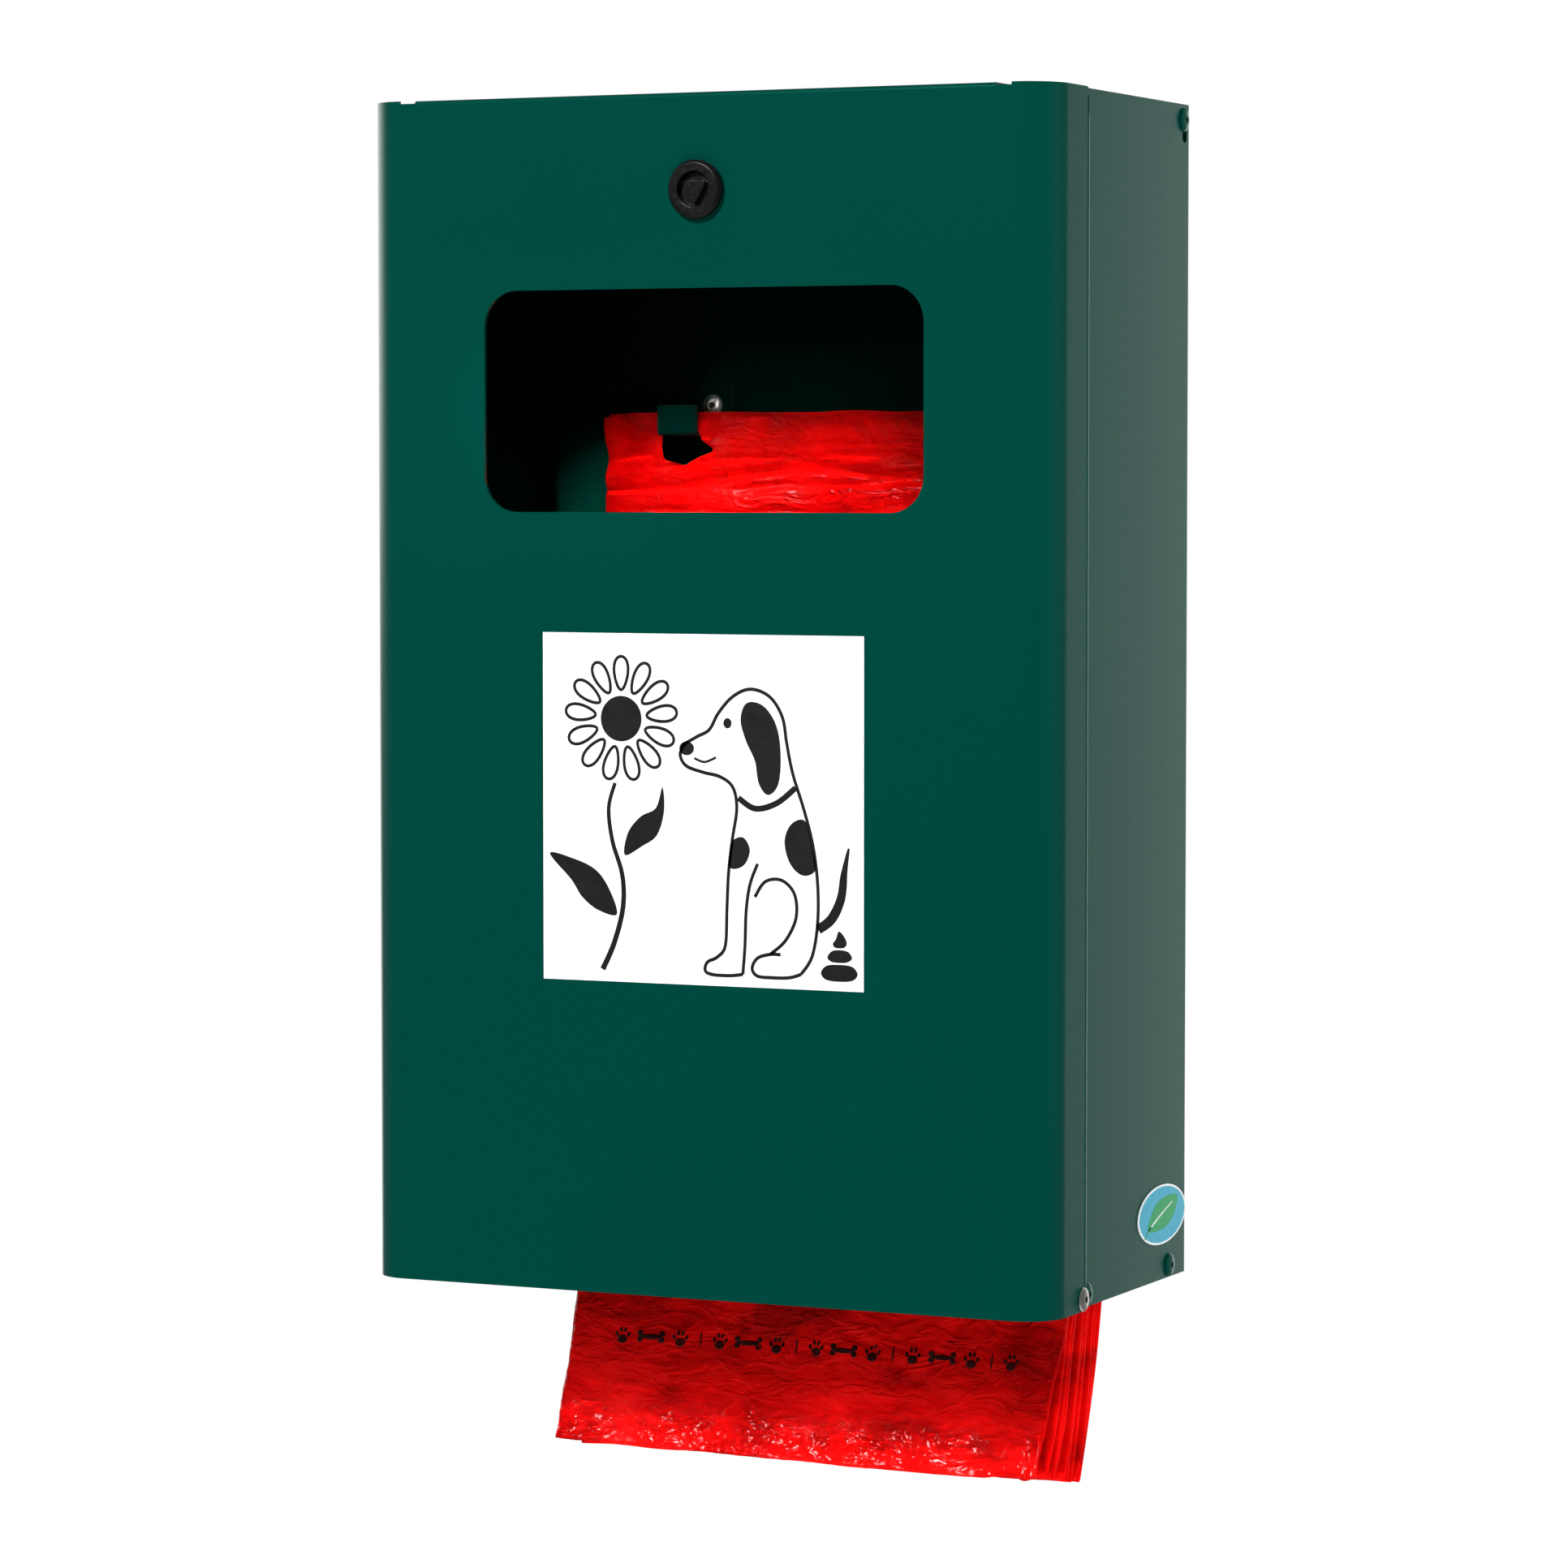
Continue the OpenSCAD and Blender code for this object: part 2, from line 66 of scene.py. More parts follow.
# --------------------------------------------------------------- materials
class Finish:
    """A node material with object-space noise for its colour, roughness and bump."""

    def __init__(self, name, roughness, metallic=0.0):
        self.material = bpy.data.materials.new(name)
        self.material.use_nodes = True
        self.tree = self.material.node_tree
        self.shader = self.tree.nodes["Principled BSDF"]
        self.shader.inputs["Roughness"].default_value = roughness
        self.shader.inputs["Metallic"].default_value = metallic
        self.place = self.node("ShaderNodeTexCoord").outputs["Object"]

    def node(self, kind, **settings):
        made = self.tree.nodes.new(kind)
        for key, value in settings.items():
            setattr(made, key, value)
        return made

    def link(self, source, target):
        self.tree.links.new(source, target)

    def set(self, **values):
        for key, value in values.items():
            self.shader.inputs[key.replace("_", " ")].default_value = value

    def stretched(self, scale):
        """Object coordinates scaled along each axis, for grain with a direction."""
        mapping = self.node("ShaderNodeMapping")
        mapping.inputs["Scale"].default_value = scale
        self.link(self.place, mapping.inputs["Vector"])
        return mapping.outputs["Vector"]

    def noise(self, scale, detail=2.0, place=None, distortion=0.0):
        made = self.node("ShaderNodeTexNoise")
        made.inputs["Scale"].default_value = scale
        made.inputs["Detail"].default_value = detail
        made.inputs["Distortion"].default_value = distortion
        self.link(place or self.place, made.inputs["Vector"])
        return made.outputs["Fac"]

    def ramp(self, source, stops):
        """A colour ramp through (position, colour) stops."""
        made = self.node("ShaderNodeValToRGB")
        elements = made.color_ramp.elements
        while len(elements) < len(stops):
            elements.new(0.5)
        for element, (position, colour) in zip(elements, stops):
            element.position = position
            element.color = (*colour, 1)
        self.link(source, made.inputs["Fac"])
        return made.outputs["Color"]

    def span(self, source, low, high, source_low=0.0, source_high=1.0):
        """The source, mapped from its range to low to high."""
        made = self.node("ShaderNodeMapRange")
        for key, value in zip(
            ("From Min", "From Max", "To Min", "To Max"),
            (source_low, source_high, low, high),
        ):
            made.inputs[key].default_value = value
        self.link(source, made.inputs["Value"])
        return made.outputs["Result"]

    def math(self, operation, a, b):
        made = self.node("ShaderNodeMath", operation=operation)
        for socket, value in zip(made.inputs, (a, b)):
            if isinstance(value, (int, float)):
                socket.default_value = value
            else:
                self.link(value, socket)
        return made.outputs[0]

    def colour(self, source):
        self.link(source, self.shader.inputs["Base Color"])

    def rough(self, source):
        self.link(source, self.shader.inputs["Roughness"])

    def bump(self, *layers):
        """Stacks (height, distance in metres, strength) layers of bump."""
        normal = None
        for height, distance, strength in layers:
            made = self.node("ShaderNodeBump")
            made.inputs["Distance"].default_value = distance
            made.inputs["Strength"].default_value = strength
            self.link(height, made.inputs["Height"])
            if normal is not None:
                self.link(normal, made.inputs["Normal"])
            normal = made.outputs["Normal"]
        self.link(normal, self.shader.inputs["Normal"])


def scaled(colour, factor):
    return tuple(channel * factor for channel in colour)


GREEN = (0.0001, 0.0480, 0.0352)
# Painted highlight: rounded edges catch more light than the faces, so they are given a paler
# colour
GREEN_EDGE_HIGHLIGHT = (0.030, 0.115, 0.095)
GREEN_GLINT = (0.006, 0.16, 0.13, 1.0)
RED_GLINT = (1.0, 0.50, 0.50, 1.0)


def powder_coat(name, colour):
    """Satin powder coat: fine orange peel and faint cloudiness."""
    f = Finish(name, 0.29)
    f.set(Specular_IOR_Level=0.42, Specular_Tint=GREEN_GLINT)
    cloud = f.noise(6, 3)
    speck = f.noise(1300, 2)
    tone = f.math("ADD", f.math("MULTIPLY", cloud, 0.5), f.math("MULTIPLY", speck, 0.5))
    f.colour(f.ramp(tone, [
        (0.3, scaled(colour, 0.95)), (0.5, colour), (0.7, scaled(colour, 1.05)),
    ]))
    f.rough(f.span(f.noise(900, 2), 0.27, 0.32, 0.3, 0.7))
    f.bump((f.noise(420, 2), 0.00008, 0.10), (f.noise(1700, 2), 0.00003, 0.12))
    return f.material


def metal(name, colour, roughness, grain, place_scale=(1, 1, 1)):
    """Bare or plated metal with fine scratches and uneven dullness."""
    f = Finish(name, roughness, 1.0)
    streaks = f.noise(grain, 4, f.stretched(place_scale))
    f.colour(f.ramp(streaks, [
        (0.3, scaled(colour, 0.82)), (0.6, colour), (0.8, scaled(colour, 1.08)),
    ]))
    f.rough(f.span(f.noise(grain * 0.4, 3), roughness * 0.75, roughness * 1.3, 0.3, 0.7))
    f.bump((streaks, 0.00006, 0.35))
    return f.material


def black_cast_and_shade(name, colour, roughness):
    """Black coated die casting with a fine grain; also the gasket rubber, and the rivet
    mandrels, whose near black is painted shade for the hollows in the rivet heads.
    """
    f = Finish(name, roughness)
    f.set(Specular_IOR_Level=0.30)
    grain = f.noise(2600, 3)
    f.colour(f.ramp(grain, [(0.35, colour), (0.7, scaled(colour, 1.7))]))
    f.rough(f.span(f.noise(700, 3), roughness - 0.06, roughness + 0.1, 0.3, 0.7))
    f.bump((grain, 0.00006, 0.4))
    return f.material


def film(name, lift, roughness, gloss, wrinkling):
    """Thin red film with brighter and darker patches, which are painted shade and light
    for the folds seen through it. Lift brightens its colour; wrinkling is the strength
    of its fine creases."""
    f = Finish(name, roughness)
    f.set(Specular_IOR_Level=gloss, Specular_Tint=RED_GLINT)

    # The darker patches are painted shade for the uneven folds seen through the film
    patches = f.noise(30, 3, f.stretched((1, 0.5, 1.5)), 0.6)
    threads = f.noise(190, 4, f.stretched((0.4, 1, 1.5)))
    tone = f.math("ADD", f.math("MULTIPLY", patches, 0.8), f.math("MULTIPLY", threads, 0.2))
    f.colour(f.ramp(tone, [
        (0.34, (0.40 * lift, 0.0008, 0.0007)),
        (0.46, (0.74 * lift, 0.0015, 0.0012)),
        (0.62, (0.90 * lift, 0.0030, 0.0024)),
    ]))
    f.rough(f.span(f.noise(80, 4), roughness * 0.6, roughness * 1.4, 0.3, 0.7))
    # Sharp creases run where the noise crosses its middle value
    wander = f.math("SUBTRACT", f.noise(110, 3, f.stretched((0.6, 1, 1.4)), 0.8), 0.5)
    from_crease = f.math("ABSOLUTE", wander, 0)
    f.bump(
        (f.span(from_crease, 1.0, 0.0, 0.0, 0.12), 0.0008, 0.45 * wrinkling),
        (f.noise(330, 3), 0.0007, 0.60 * wrinkling),
    )
    return f.material


def vinyl(name, colour, roughness):
    """Smooth printed vinyl with a faint grain."""
    f = Finish(name, roughness)
    f.set(Specular_IOR_Level=0.35)
    f.colour(f.ramp(f.noise(60, 3), [(0.3, scaled(colour, 0.97)), (0.7, colour)]))
    f.rough(f.span(f.noise(240, 3), roughness - 0.06, roughness + 0.06, 0.3, 0.7))
    f.bump((f.noise(520, 2), 0.00003, 0.3))
    return f.material


PAINT = powder_coat("green_powder_coat", GREEN)
PAINT_EDGE_HIGHLIGHT = powder_coat("green_powder_coat_painted_highlight", GREEN_EDGE_HIGHLIGHT)
RIVET_METAL = metal("bright_rivet", (0.86, 0.84, 0.79), 0.34, 900)
# The rivet mandrels are near black: painted shade for the dark hollow in each rivet's head
PIN_PAINTED_SHADE = black_cast_and_shade("pin_painted_shade", (0.010, 0.012, 0.011), 0.5)
ZINC = metal("zinc_plate", (0.70, 0.69, 0.66), 0.36, 600, (1, 1, 4))
BLACK = black_cast_and_shade("lock_black", (0.0024, 0.0024, 0.0022), 0.30)
RUBBER = black_cast_and_shade("gasket_rubber", (0.004, 0.004, 0.004), 0.75)
FILM = film("bag_film", 0.97, 0.10, 0.32, 1.0)
# The films behind the front one use this brighter copy of the film colour: painted light for
# the stack's brightly lit side edges
FILM_STACK_LIT = film("bag_film_stack_painted_light", 1.06, 0.45, 0.06, 0.3)
WHITE = vinyl("sticker_white", (0.93, 0.93, 0.93), 0.42)
INK = vinyl("sticker_ink", (0.0045, 0.004, 0.004), 0.50)
FILM_INK = vinyl("bag_ink", (0.030, 0.0012, 0.0010), 0.42)
BADGE_RIM = vinyl("badge_rim", (0.80, 0.84, 0.84), 0.30)
BADGE_FIELD = vinyl("badge_field", (0.045, 0.36, 0.50), 0.28)
BADGE_MARK = vinyl("badge_mark", (0.02, 0.30, 0.10), 0.30)

FINISHES = {
    "lock_gasket": RUBBER, "lock_housing": BLACK, "lock_plug": BLACK,
    "lock_washer": ZINC, "lock_nut": ZINC, "lock_cam": ZINC, "cam_washer": ZINC,
    "cam_screw": ZINC, "hinge_rivets": RIVET_METAL, "hook_rivets": RIVET_METAL,
    "case_mandrels": PIN_PAINTED_SHADE, "hinge_mandrels": PIN_PAINTED_SHADE, "hook_mandrels": PIN_PAINTED_SHADE,
    "door_sticker": WHITE, "side_badge": BADGE_RIM,
}
EDGE_RADIUS = {
    "back_shell": 0.00035, "roof_plate": 0.00035, "floor_plate": 0.00035,
    "door_panel": 0.00060, "hook_left": 0.00035, "hook_right": 0.00035,
    "lock_housing": 0.00025, "lock_plug": 0.00030, "lock_washer": 0.00015,
    "lock_nut": 0.00030, "lock_cam": 0.00030, "cam_washer": 0.00015,
    "cam_screw": 0.00025, "lock_gasket": 0.00015, "hinge_rivets": 0.00012,
    "hook_rivets": 0.00012, "case_rivets": 0.00012, "side_badge": 0.00012,
}


WELD_GAP = 1e-5
FLAT_WITHIN = math.radians(0.6)
SHARP_FROM = math.radians(35)


def round_edges(o, radius, highlight_slot):
    """Softens a CAD node's sharp edges with modifiers, and leaves its mesh as it is."""
    weld = o.modifiers.new("weld", "WELD")
    weld.merge_threshold = WELD_GAP
    flats = o.modifiers.new("flats", "DECIMATE")
    flats.decimate_type = "DISSOLVE"
    flats.angle_limit = FLAT_WITHIN
    bevel = o.modifiers.new("bevel", "BEVEL")
    bevel.width = radius
    bevel.segments = 3
    bevel.limit_method = "ANGLE"
    bevel.angle_limit = SHARP_FROM
    # The bevel's faces take the paler edge colour where a slot is given: a painted highlight
    # along the rounded edges
    bevel.material = highlight_slot
    normals = o.modifiers.new("normals", "WEIGHTED_NORMAL")
    normals.weight = 80
    normals.keep_sharp = False


# Nodes without a finish of their own are painted green
for name, o in nodes.items():
    finish = FINISHES.get(name, PAINT)
    for holder in o.material_slots:
        holder.material = finish
    if name in EDGE_RADIUS:
        highlight_slot = -1
        # Green parts get a paler copy of their paint on the rounded edges: painted highlight
        if finish is PAINT:
            o.data.materials.append(PAINT_EDGE_HIGHLIGHT)
            highlight_slot = len(o.data.materials) - 1
        round_edges(o, EDGE_RADIUS[name], highlight_slot)


# ------------------------------------------------------------- mesh helpers
def mesh_object(name, verts, faces, material, body):
    mesh = bpy.data.meshes.new(name)
    mesh.from_pydata(verts, [], faces)
    mesh.materials.append(material)
    mesh.shade_smooth()
    mesh.update()
    o = bpy.data.objects.new(name, mesh)
    scene.collection.objects.link(o)
    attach(o, body)
    return o


def plate(verts, faces, outline, to_space, thickness):
    """Adds a closed flat plate with this outline; to_space(u, v, height) gives a point."""
    start, n = len(verts), len(outline)
    verts += [to_space(u, v, thickness) for u, v in outline]
    verts += [to_space(u, v, 0.0) for u, v in outline]
    front, back = range(start, start + n), range(start + n, start + 2 * n)
    faces.append(tuple(front))
    faces.append(tuple(reversed(back)))
    faces += [
        (front[i], back[i], back[(i + 1) % n], front[(i + 1) % n]) for i in range(n)
    ]


def smooth_line(points, steps, closed=False):
    """Catmull-Rom curve through the points."""
    n = len(points)
    spans = n if closed else n - 1
    found = []
    for i in range(spans):
        if closed:
            a, b, c, d = (points[(i + j - 1) % n] for j in range(4))
        else:
            a, b, c, d = (points[min(max(i + j - 1, 0), n - 1)] for j in range(4))
        for k in range(steps):
            t = k / steps
            found.append(tuple(
                0.5 * (2 * q + (r - p) * t + (2 * p - 5 * q + 4 * r - s) * t * t
                       + (3 * q - p - 3 * r + s) * t ** 3)
                for p, q, r, s in zip(a, b, c, d)
            ))
    if not closed:
        found.append(tuple(points[-1]))
    return found


def area_of(outline):
    return sum(
        a[0] * b[1] - b[0] * a[1] for a, b in zip(outline, outline[1:] + outline[:1])
    ) / 2


def turned(outline):
    """The outline, counter-clockwise."""
    return outline if area_of(outline) > 0 else outline[::-1]


def width_along(widths, share):
    """The width at this share (0 to 1) of a line whose width follows the list."""
    if len(widths) == 1:
        return widths[0]
    place = share * (len(widths) - 1)
    k = min(int(place), len(widths) - 2)
    return widths[k] + (widths[k + 1] - widths[k]) * (place - k)


def stroke(verts, faces, line, widths, to_space, thickness, closed=False):
    """Adds a drawn line: a closed flat ribbon whose width follows the list of widths."""
    n, start = len(line), len(verts)
    for i, (u, v) in enumerate(line):
        before = line[(i - 1) % n] if closed else line[max(i - 1, 0)]
        after = line[(i + 1) % n] if closed else line[min(i + 1, n - 1)]
        along = (Vector(after) - Vector(before)).normalized()
        side = Vector((-along.y, along.x)) * width_along(widths, i / (n - 1)) / 2
        for sign in (1, -1):
            for height in (thickness, 0.0):
                verts.append(to_space(u + sign * side.x, v + sign * side.y, height))
    for i in range(n if closed else n - 1):
        a, b = start + 4 * i, start + 4 * ((i + 1) % n)
        faces += [
            (a + 2, b + 2, b, a), (a, b, b + 1, a + 1),
            (a + 1, b + 1, b + 3, a + 3), (a + 3, b + 3, b + 2, a + 2),
        ]
    if not closed:
        end = start + 4 * (n - 1)
        faces.append((start, start + 1, start + 3, start + 2))
        faces.append((end + 2, end + 3, end + 1, end))


def ellipse(u, v, ru, rv, n=40):
    return [
        (u + ru * math.cos(2 * math.pi * i / n), v + rv * math.sin(2 * math.pi * i / n))
        for i in range(n)
    ]


def spread_over(low, high, step):
    """Evenly spaced values from low to high, about a step apart."""
    n = max(1, round((high - low) / step))
    return [low + (high - low) * i / n for i in range(n + 1)]


def noisy(x, z, scale, seed):
    """Smooth noise from -1 to 1 with scale bumps to the metre."""
    return noise.noise(Vector((x * scale, z * scale, seed)))


# ------------------------------------------- coat on the flanges' cut edges
# Powder coat gathers along a cut edge, so each door flange ends in a low ridge of it.
RIDGE_PROFILE = [
    (-0.0003, 0.0022), (-0.00004, 0.0020), (0.00008, 0.0017), (0.00014, 0.0013),
    (0.00013, 0.0010), (0.00008, 0.0006), (0.00001, 0.0002), (-0.00018, 0.00002),
    (-0.0005, 0.00002), (-0.0006, 0.0012),
]
RIDGE_INSET, RIDGE_STEP = 0.0030, 0.010
door_low, door_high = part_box("door_panel")


def edge_coat(name, side):
    """A closed strip along one flange, from RIDGE_PROFILE (distance out, distance forward)."""
    verts, faces = [], []
    rows = spread_over(door_low.z + RIDGE_INSET, door_high.z - RIDGE_INSET, RIDGE_STEP)
    n = len(RIDGE_PROFILE)
    for z in rows:
        uneven = 1 + 0.12 * noisy(side, z, 70, 0.5)
        for out, forward in RIDGE_PROFILE:
            height = out * uneven if out > 0 else out
            x = door_high.x if side > 0 else -door_low.x
            verts.append((side * (x + height), door_high.y - forward, z))
    for i in range(len(rows) - 1):
        for j in range(n):
            a, b = i * n + j, i * n + (j + 1) % n
            quad = (a, b, b + n, a + n)
            faces.append(quad if side < 0 else quad[::-1])
    ends = (tuple(range(n)), tuple(range((len(rows) - 1) * n, len(rows) * n)))
    faces.append(ends[0][::-1] if side < 0 else ends[0])
    faces.append(ends[1] if side < 0 else ends[1][::-1])
    return mesh_object(name, verts, faces, PAINT, "door")


edge_coat("door_edge_coat_left", -1)
edge_coat("door_edge_coat_right", 1)


# ------------------------------------------------------- pictogram sticker
PRINT = 0.00004
sticker_low, sticker_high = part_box("door_sticker")


def on_sticker(u, v, height):
    """A point from millimetres right of and above the sticker's lower left corner."""
    return (sticker_low.x + u / 1000, sticker_low.y - height, sticker_low.z + v / 1000)


def pictogram():
    """The sticker's printed drawing: a flower, a sitting dog and a small pile."""
    verts, faces = [], []

    def line(points, widths=(1.15,), steps=6, closed=False):
        stroke(verts, faces, smooth_line(points, steps, closed), widths, on_sticker, PRINT,
               closed)

    def fill(points, steps=6):
        plate(verts, faces, turned(smooth_line(points, steps, True)), on_sticker, PRINT)

    # flower: a disc, round petals, a stem and two leaves
    centre, disc, petals = (29.3, 88.0), 7.6, 13
    plate(verts, faces, ellipse(*centre, disc, disc), on_sticker, PRINT)
    for i in range(petals):
        turn = 2 * math.pi * (i + 0.25) / petals
        c, s = math.cos(turn), math.sin(turn)
        loop = []
        for k in range(24):
            a = 2 * math.pi * k / 24
            r = 15.2 - 5.6 * math.cos(a)
            w = 2.55 * math.sin(a) * (1.0 - 0.28 * math.cos(a))
            loop.append((centre[0] + r * c - w * s, centre[1] + r * s + w * c))
        stroke(verts, faces, loop, (1.05,), on_sticker, PRINT, True)
    line([(27.0, 66.5), (24.6, 58), (26.0, 47), (29.6, 36), (29.9, 25), (26.6, 13), (22.3, 4)],
         (1.3, 1.5, 1.8, 2.0))
    fill([(30.6, 42.5), (31.8, 50), (36.5, 55.5), (42.2, 58.5), (44.6, 65.5), (45.2, 57.5),
          (42.6, 49.5), (37.0, 45.6)])
    fill([(27.6, 22.5), (20.5, 23.8), (14.6, 28.0), (10.6, 33.6), (2.4, 42.4), (12.0, 40.6),
          (20.0, 37.0), (25.0, 30.5)])

    # sitting dog, seen from the side
    line([(53.0, 80.2), (57.5, 82.6), (62.0, 85.0), (65.2, 90.4), (70.5, 96.0), (77.0, 98.6),
          (84.0, 96.2), (88.6, 89.6), (90.2, 81.0), (92.4, 71.0), (96.2, 60.0), (99.6, 48.0),
          (101.4, 35.0), (101.4, 22.0), (99.4, 11.0), (95.4, 5.0)])
    line([(53.0, 80.2), (51.2, 76.6), (53.4, 72.8), (59.6, 70.8), (66.0, 69.4), (70.6, 66.0),
          (72.0, 59.0), (70.4, 49.0), (69.0, 38.0), (68.4, 26.0), (67.8, 13.6), (64.8, 9.6),
          (61.2, 7.8), (60.4, 4.9), (63.2, 3.7), (69.6, 3.6), (74.2, 4.2)])
    line([(74.2, 4.2), (75.0, 14.0), (75.4, 25.0), (76.8, 34.0), (79.6, 41.0)])
    line([(78.6, 30.0), (82.4, 35.2), (88.4, 35.8), (93.0, 31.4), (93.6, 23.6), (89.8, 16.0),
          (84.2, 11.2)])
    line([(95.4, 5.0), (91.0, 3.7), (84.0, 3.5), (79.4, 3.9), (77.6, 6.4), (79.6, 9.8),
          (84.2, 11.2), (88.0, 11.2)])
    line([(56.4, 75.4), (60.2, 74.2), (64.4, 75.8)], (0.8,))
    line([(72.6, 62.6), (78.8, 59.2), (86.6, 61.2), (93.4, 66.4)], (2.0,))
    fill([(75.6, 94.0), (81.6, 93.2), (86.4, 86.8), (88.0, 77.4), (87.2, 67.6), (83.4, 63.8),
          (80.0, 67.6), (78.6, 75.0), (75.4, 81.4), (73.4, 88.4)])
    fill([(96.8, 55.6), (99.4, 47.0), (100.6, 39.6), (96.0, 37.6), (91.4, 41.4), (89.4, 48.6),
          (91.8, 54.4)])
    fill([(70.0, 47.6), (74.2, 49.6), (76.8, 45.4), (74.4, 40.2), (69.4, 39.6)])
    plate(verts, faces, ellipse(53.6, 78.6, 2.7, 2.3), on_sticker, PRINT)
    plate(verts, faces, ellipse(68.6, 87.2, 1.5, 1.7), on_sticker, PRINT)
    line([(101.6, 20.0), (106.4, 23.6), (109.8, 30.4), (111.0, 39.0), (112.6, 47.0)],
         (3.2, 3.4, 2.8, 0.7), 8)

    # small pile: three lobes with a gap between them
    fill([(102.6, 5.8), (104.6, 8.2), (109.2, 8.7), (113.8, 8.2), (115.8, 5.8), (114.0, 3.6),
          (109.2, 3.1), (104.4, 3.6)])
    fill([(104.9, 11.0), (106.6, 13.1), (109.5, 13.5), (112.4, 13.0), (113.8, 11.0),
          (112.2, 9.6), (109.3, 9.3), (106.4, 9.6)])
    fill([(106.9, 15.6), (108.0, 17.1), (109.0, 19.6), (110.8, 18.2), (111.9, 16.0),
          (111.2, 14.5), (109.3, 14.1), (107.5, 14.4)])
    o = mesh_object("sticker_print", verts, faces, INK, "door")
    for face in o.data.polygons:
        face.use_smooth = False


pictogram()


# ------------------------------------------------------------- side badge
badge_low, badge_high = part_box("side_badge")
badge_centre = (badge_low + badge_high) / 2
badge_half_y = (badge_high.y - badge_low.y) / 2
badge_half_z = (badge_high.z - badge_low.z) / 2


def on_badge(base):
    """Maps shares of the badge's half width and height, and a height in metres above base."""

    def place(u, v, height):
        return (
            badge_high.x + base + height,
            badge_centre.y + u * badge_half_y,
            badge_centre.z + v * badge_half_z,
        )

    return place


verts, faces = [], []
plate(verts, faces, ellipse(0, 0, 0.945, 0.93, 72), on_badge(0), PRINT)
field = mesh_object("badge_field", verts, faces, BADGE_FIELD, "case")
verts, faces = [], []
leaf = smooth_line([(-0.58, -0.42), (-0.34, 0.30), (0.10, 0.56), (0.62, 0.50), (0.50, -0.08),
                    (0.10, -0.46)], 10, True)
plate(verts, faces, turned(leaf), on_badge(PRINT), PRINT)
stroke(verts, faces, smooth_line([(-0.72, -0.66), (-0.56, -0.40), (-0.40, -0.24)], 6),
       (0.05,), on_badge(PRINT), PRINT)
mark = mesh_object("badge_mark", verts, faces, BADGE_MARK, "case")
verts, faces = [], []
stroke(verts, faces, smooth_line([(-0.46, -0.30), (-0.05, 0.02), (0.42, 0.34)], 8),
       (0.06, 0.03), on_badge(2 * PRINT), PRINT)
vein = mesh_object("badge_vein", verts, faces, BADGE_RIM, "case")
for o in (field, mark, vein):
    for face in o.data.polygons:
        face.use_smooth = False


# ------------------------------------------------------------------- bags
# The stack hangs on the hooks and leans forward below, as the solids in the CAD do.
# s is 0 at the front of the stack and 1 at the back; z falls from the top edge.
STACK_FRONT, STACK_BACK = -0.0307, -0.0048
LEAN_FRONT, LEAN_BACK, LEAN_POWER = 0.0413, 0.0322, 4
BAG_LENGTH, BAG_TOP = 0.358, 0.096
BAG_X, BAG_HALF = 0.0085, 0.0925
HOOK_X, HOLE_HALF = 0.0556, 0.011
HOLE_LOW, HOLE_HIGH = 0.0765, 0.0898


def stack_y(z, s):
    lean = LEAN_FRONT + (LEAN_BACK - LEAN_FRONT) * s
    fall = (BAG_TOP - z) / BAG_LENGTH
    return STACK_FRONT + (STACK_BACK - STACK_FRONT) * s - lean * max(fall, 0) ** LEAN_POWER


def between(value, low, high):
    """0 below low, 1 above high, smooth in between."""
    t = min(max((value - low) / (high - low), 0.0), 1.0)
    return t * t * (3 - 2 * t)


def rounded(reach):
    """The height of a quarter circle at this share of the way in from its edge."""
    return math.sqrt(max(1 - (1 - min(reach, 1)) ** 2, 0.02))


def film_mesh(name, xs, zs, point, thickness, open_cell, material):
    """A closed thin film over a grid.

    point(x, z) is the middle of the film and thickness(x, z) its thickness; open_cell(x, z)
    is true where it has a hole.
    """
    nx, nz = len(xs), len(zs)
    verts = []
    middle = [[Vector(point(x, z)) for z in zs] for x in xs]
    for side in (-0.5, 0.5):
        for i in range(nx):
            for j in range(nz):
                p = middle[i][j]
                verts.append((p.x, p.y + side * thickness(xs[i], zs[j]), p.z))
    back = nx * nz
    filled = [
        [
            not open_cell((xs[i] + xs[i + 1]) / 2, (zs[j] + zs[j + 1]) / 2)
            for j in range(nz - 1)
        ]
        for i in range(nx - 1)
    ]
    faces = []

    def is_filled(i, j):
        return 0 <= i < nx - 1 and 0 <= j < nz - 1 and filled[i][j]

    for i in range(nx - 1):
        for j in range(nz - 1):
            if not filled[i][j]:
                continue
            a, b = i * nz + j, (i + 1) * nz + j
            faces.append((a, b, b + 1, a + 1))
            faces.append((back + a, back + a + 1, back + b + 1, back + b))
            for di, dj, p, q in (
                (0, -1, a, b), (1, 0, b, b + 1), (0, 1, b + 1, a + 1), (-1, 0, a + 1, a),
            ):
                if not is_filled(i + di, j + dj):
                    faces.append((q, p, back + p, back + q))
    o = mesh_object(name, verts, faces, material, "case")
    clean = bmesh.new()
    clean.from_mesh(o.data)
    loose = [v for v in clean.verts if not v.link_faces]
    bmesh.ops.delete(clean, geom=loose, context="VERTS")
    clean.to_mesh(o.data)
    clean.free()
    return o


def inside(outline, x, z):
    """Whether the point lies inside the closed outline."""
    hit = False
    for (x0, z0), (x1, z1) in zip(outline, outline[1:] + outline[:1]):
        if (z0 > z) != (z1 > z) and x < x0 + (z - z0) * (x1 - x0) / (z1 - z0):
            hit = not hit
    return hit


def nearest_on(outline, x, z):
    """The point of the outline nearest to (x, z)."""
    best = None
    for (x0, z0), (x1, z1) in zip(outline, outline[1:] + outline[:1]):
        dx, dz = x1 - x0, z1 - z0
        t = min(max(((x - x0) * dx + (z - z0) * dz) / (dx * dx + dz * dz), 0), 1)
        p = (x0 + t * dx, z0 + t * dz)
        gap = math.hypot(p[0] - x, p[1] - z)
        if best is None or gap < best[0]:
            best = (gap, p)
    return best[1]


